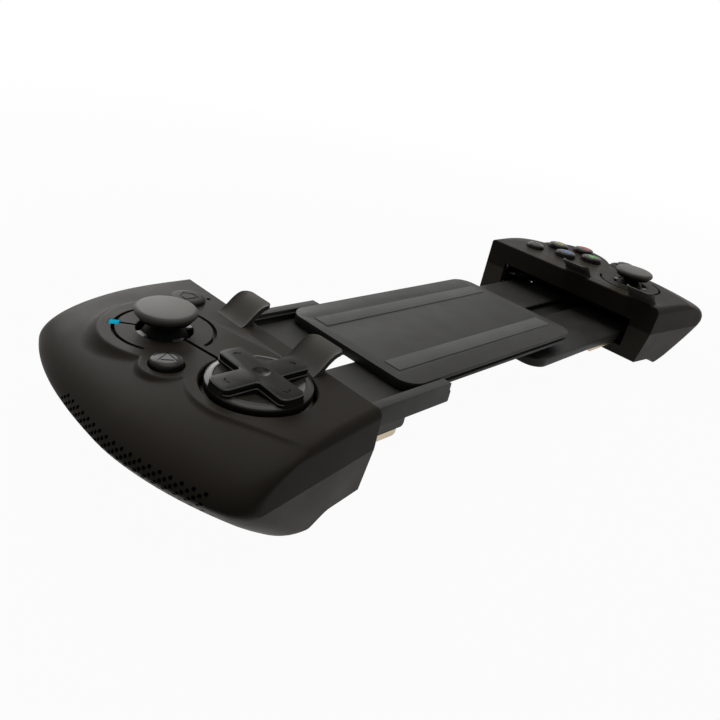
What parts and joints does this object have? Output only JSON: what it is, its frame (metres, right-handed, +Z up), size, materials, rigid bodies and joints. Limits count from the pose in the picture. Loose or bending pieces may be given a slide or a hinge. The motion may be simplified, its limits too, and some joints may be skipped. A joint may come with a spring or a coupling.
{
  "type": "mobile game controller",
  "caption": "Game controller in two halves on a telescopic bridge that clamps a phone between grips with thumbsticks, a direction pad, buttons and triggers.",
  "frame": {"origin": "on the table under the middle of the controller's outer box, with the bridge opened for a phone", "axes": "+X from the left grip to the right grip, +Y away from the player, +Z up out of the control deck"},
  "size_m": [0.26, 0.089, 0.0327],
  "materials": {
    "front_shell": "soft-touch matt",
    "rear_shell": "fine matt grain",
    "plate": "satin",
    "runner": "warm brushed steel",
    "grip_strip": "matt rubber",
    "circuit_board": "green solder mask",
    "silicone": "matt silicone",
    "cell": "shrink film",
    "inner_plastic": "satin",
    "light": "clear tinted",
    "steel": "plain steel",
    "stick_post": "satin",
    "stick_cap": "matt rubber",
    "gloss_black": "polished"
  },
  "bodies": {
    "left_grip": {"left_front_cover": "front_shell", "left_rear_cover": "rear_shell", "left_tongue": "plate", "left_runners": "runner", "left_board": "circuit_board", "left_membrane": "silicone", "battery": "cell", "left_stick_base": "inner_plastic", "status_light": "light", "left_screws": "steel", "left_trigger_pin": "steel", "left_switches": "inner_plastic", "charge_socket": "steel"},
    "left_stick_gimbal": {"left_stick_yoke": "steel"},
    "left_stick": {"left_stick_post": "stick_post", "left_stick_cap": "stick_cap"},
    "pad_gimbal": {"pad_spider": "steel"},
    "direction_pad": {"direction_pad": "gloss_black"},
    "back_button": {"back_button": "gloss_black"},
    "home_button": {"home_button": "gloss_black"},
    "left_bumper": {"left_bumper": "gloss_black"},
    "left_trigger": {"left_trigger": "gloss_black"},
    "bridge_center": {"bridge_plate": "plate", "bridge_keel": "plate", "bridge_pads": "grip_strip"},
    "right_slider": {"right_slider": "plate", "right_runners": "runner"},
    "right_grip": {"right_front_cover": "front_shell", "right_rear_cover": "rear_shell", "right_board": "circuit_board", "right_membrane": "silicone", "right_stick_base": "inner_plastic", "right_screws": "steel", "right_trigger_pin": "steel", "right_switches": "inner_plastic"},
    "right_stick_gimbal": {"right_stick_yoke": "steel"},
    "right_stick": {"right_stick_post": "stick_post", "right_stick_cap": "stick_cap"},
    "start_button": {"start_button": "gloss_black"},
    "menu_button": {"menu_button": "gloss_black"},
    "far_button": {"far_button": "gloss_black"},
    "outer_button": {"outer_button": "gloss_black"},
    "inner_button": {"inner_button": "gloss_black"},
    "near_button": {"near_button": "gloss_black"},
    "right_bumper": {"right_bumper": "gloss_black"},
    "right_trigger": {"right_trigger": "gloss_black"}
  },
  "joints": [
    {"name": "left_stick_tilt_y", "type": "hinge", "parent": "left_grip", "child": "left_stick_gimbal", "pos_m": [-0.101, 0.0133, 0.0225], "axis": [1, 0, 0], "range_deg": [-15, 15], "stiffness_Nm_per_rad": 0.03},
    {"name": "left_stick_tilt_x", "type": "hinge", "parent": "left_stick_gimbal", "child": "left_stick", "pos_m": [-0.101, 0.0133, 0.0225], "axis": [0, 1, 0], "range_deg": [-15, 15], "stiffness_Nm_per_rad": 0.03},
    {"name": "pad_rock_y", "type": "hinge", "parent": "left_grip", "child": "pad_gimbal", "pos_m": [-0.0962, -0.0181, 0.0245], "axis": [1, 0, 0], "range_deg": [-5, 5], "stiffness_Nm_per_rad": 0.1},
    {"name": "pad_rock_x", "type": "hinge", "parent": "pad_gimbal", "child": "direction_pad", "pos_m": [-0.0962, -0.0181, 0.0245], "axis": [0, 1, 0], "range_deg": [-5, 5], "stiffness_Nm_per_rad": 0.1},
    {"name": "back_press", "type": "slide", "parent": "left_grip", "child": "back_button", "axis": [0, 0, -1], "range_m": [0, 0.001], "stiffness_N_per_m": 400},
    {"name": "home_press", "type": "slide", "parent": "left_grip", "child": "home_button", "axis": [0, 0, -1], "range_m": [0, 0.001], "stiffness_N_per_m": 400},
    {"name": "left_bumper_press", "type": "slide", "parent": "left_grip", "child": "left_bumper", "axis": [0, -1, 0], "range_m": [0, 0.001], "stiffness_N_per_m": 400},
    {"name": "left_trigger_pull", "type": "hinge", "parent": "left_grip", "child": "left_trigger", "pos_m": [-0.0886, 0.0352, 0.0113], "axis": [0, 0, 1], "range_deg": [0, 5], "stiffness_Nm_per_rad": 0.15},
    {"name": "bridge_slide", "type": "slide", "parent": "left_grip", "child": "bridge_center", "axis": [1, 0, 0], "range_m": [-0.067, 0.0074]},
    {"name": "slider_slide", "type": "slide", "parent": "bridge_center", "child": "right_slider", "axis": [1, 0, 0], "range_m": [-0.0572, 0.0064]},
    {"name": "right_grip_slide", "type": "slide", "parent": "right_slider", "child": "right_grip", "axis": [1, 0, 0], "range_m": [-0.0202, 0.0023]},
    {"name": "right_stick_tilt_y", "type": "hinge", "parent": "right_grip", "child": "right_stick_gimbal", "pos_m": [0.0962, -0.0181, 0.0225], "axis": [1, 0, 0], "range_deg": [-15, 15], "stiffness_Nm_per_rad": 0.03},
    {"name": "right_stick_tilt_x", "type": "hinge", "parent": "right_stick_gimbal", "child": "right_stick", "pos_m": [0.0962, -0.0181, 0.0225], "axis": [0, 1, 0], "range_deg": [-15, 15], "stiffness_Nm_per_rad": 0.03},
    {"name": "start_press", "type": "slide", "parent": "right_grip", "child": "start_button", "axis": [0, 0, -1], "range_m": [0, 0.001], "stiffness_N_per_m": 400},
    {"name": "menu_press", "type": "slide", "parent": "right_grip", "child": "menu_button", "axis": [0, 0, -1], "range_m": [0, 0.001], "stiffness_N_per_m": 400},
    {"name": "far_press", "type": "slide", "parent": "right_grip", "child": "far_button", "axis": [0, 0, -1], "range_m": [0, 0.001], "stiffness_N_per_m": 400},
    {"name": "outer_press", "type": "slide", "parent": "right_grip", "child": "outer_button", "axis": [0, 0, -1], "range_m": [0, 0.001], "stiffness_N_per_m": 400},
    {"name": "inner_press", "type": "slide", "parent": "right_grip", "child": "inner_button", "axis": [0, 0, -1], "range_m": [0, 0.001], "stiffness_N_per_m": 400},
    {"name": "near_press", "type": "slide", "parent": "right_grip", "child": "near_button", "axis": [0, 0, -1], "range_m": [0, 0.001], "stiffness_N_per_m": 400},
    {"name": "right_bumper_press", "type": "slide", "parent": "right_grip", "child": "right_bumper", "axis": [0, -1, 0], "range_m": [0, 0.001], "stiffness_N_per_m": 400},
    {"name": "right_trigger_pull", "type": "hinge", "parent": "right_grip", "child": "right_trigger", "pos_m": [0.0886, 0.0352, 0.0113], "axis": [0, 0, -1], "range_deg": [0, 5], "stiffness_Nm_per_rad": 0.15}
  ],
  "couplings": [
    {"joint": "slider_slide", "follows": "bridge_slide", "ratio": 0.853},
    {"joint": "right_grip_slide", "follows": "bridge_slide", "ratio": 0.3}
  ]
}
